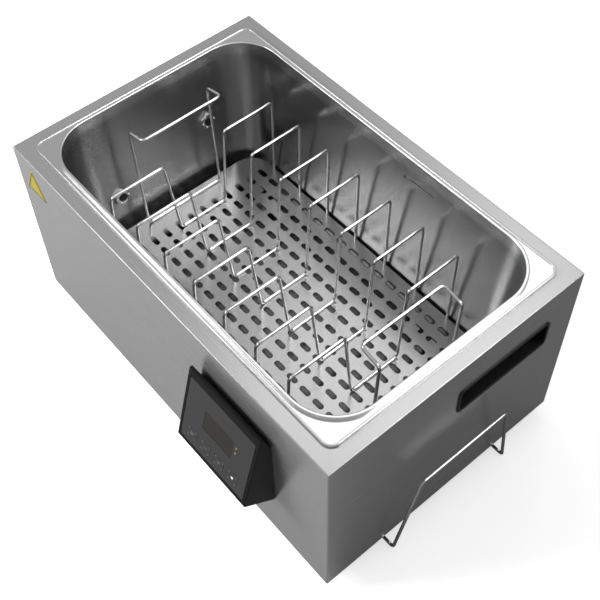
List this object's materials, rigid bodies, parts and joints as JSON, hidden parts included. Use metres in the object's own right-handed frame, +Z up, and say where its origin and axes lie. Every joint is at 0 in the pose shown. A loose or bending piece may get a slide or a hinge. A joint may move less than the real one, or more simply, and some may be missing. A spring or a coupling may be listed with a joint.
{
  "type": "sous vide water bath",
  "caption": "Box-shaped stainless water bath with a stepped rim, lift-out wire rack on a slotted plate, sloping front control console, recessed grips and a wire lid bracket.",
  "frame": {"origin": "centre of the whole object's footprint, on the surface the feet stand on", "axes": "+X towards the end with the lid bracket, +Y to the back, +Z up"},
  "size_m": [0.587, 0.4053, 0.288],
  "materials": {
    "casing_steel": "brushed along its length",
    "bath_steel": "satin, drawn",
    "plate_steel": "satin gloss",
    "wire_steel": "electropolished",
    "bracket_steel": "drawn bright",
    "bright_nut": "machined",
    "inner_steel": "mill finish",
    "zinc_screw": "zinc plated",
    "seal_rubber": "matte",
    "foot_rubber": "matte",
    "console_black": "fine texture",
    "panel_grey": "satin film",
    "window_tint": "tinted",
    "lamp_yellow": "diffuse lens",
    "key_grey": "satin film",
    "grip_black": "fine texture",
    "label_yellow": "printed film",
    "mark_ink": "etched",
    "sensor_black": "moulded",
    "board_green": "solder resist",
    "silicone_red": "matte",
    "insulation_white": "pressed fibre",
    "brass_metal": "turned",
    "part_black": "moulded",
    "nylon_white": "moulded",
    "core_iron": "varnished",
    "wire_jacket": "flexible",
    "ribbon_grey": "flexible"
  },
  "bodies": {
    "bath": {"casing_shell": "casing_steel", "tank": "bath_steel", "probe_nuts": "bright_nut", "probe_low": "sensor_black", "probe_high": "sensor_black", "probe_seals": "seal_rubber", "tank_seal": "seal_rubber", "rim_studs": "zinc_screw", "fastening_nuts": "zinc_screw", "base_screws": "zinc_screw", "foot_screws": "zinc_screw", "wall_screws": "zinc_screw", "socket_rivets": "zinc_screw", "base_plate": "inner_steel", "press_plate": "inner_steel", "support_posts": "inner_steel", "rubber_feet": "foot_rubber", "bracket_sockets": "part_black", "console_housing": "console_black", "console_fascia": "panel_grey", "console_gasket": "seal_rubber", "display_window": "window_tint", "indicator_leds": "lamp_yellow", "console_board": "board_green", "key_domes": "brass_metal", "display_module": "part_black", "power_board": "board_green", "board_standoffs": "nylon_white", "transformer": "core_iron", "relays": "part_black", "terminal_block": "nylon_white", "earth_stud": "brass_metal", "heater_mat": "silicone_red", "insulation_board": "insulation_white", "thermal_cutout": "part_black", "mains_inlet": "part_black", "mains_wires": "wire_jacket", "heater_leads": "wire_jacket", "probe_leads": "wire_jacket", "ribbon_cable": "ribbon_grey", "grip_left": "grip_black", "grip_right": "grip_black", "front_label": "label_yellow", "level_mark": "mark_ink"},
    "rack": {"perforated_plate": "plate_steel", "plate_feet": "plate_steel", "divider_1": "wire_steel", "divider_2": "wire_steel", "divider_3": "wire_steel", "divider_4": "wire_steel", "divider_5": "wire_steel", "divider_6": "wire_steel", "divider_7": "wire_steel", "rack_handle_left": "wire_steel", "rack_handle_right": "wire_steel"},
    "bracket": {"lid_bracket": "bracket_steel"},
    "set_key": {"set_key": "key_grey"},
    "minus_key": {"minus_key": "key_grey"},
    "plus_key": {"plus_key": "key_grey"},
    "power_key": {"power_key": "key_grey"}
  },
  "joints": [
    {"name": "rack_lift", "type": "slide", "parent": "bath", "child": "rack", "axis": [0, 0, 1], "range_m": [0, 0.21]},
    {"name": "bracket_pull", "type": "slide", "parent": "bath", "child": "bracket", "axis": [1, 0, 0], "range_m": [0, 0.045]},
    {"name": "set_press", "type": "slide", "parent": "bath", "child": "set_key", "axis": [0, 0.9647, -0.2634], "range_m": [0, 0.0006], "stiffness_N_per_m": 800},
    {"name": "minus_press", "type": "slide", "parent": "bath", "child": "minus_key", "axis": [0, 0.9647, -0.2634], "range_m": [0, 0.0006], "stiffness_N_per_m": 800},
    {"name": "plus_press", "type": "slide", "parent": "bath", "child": "plus_key", "axis": [0, 0.9647, -0.2634], "range_m": [0, 0.0006], "stiffness_N_per_m": 800},
    {"name": "power_press", "type": "slide", "parent": "bath", "child": "power_key", "axis": [0, 0.9647, -0.2634], "range_m": [0, 0.0006], "stiffness_N_per_m": 800}
  ]
}
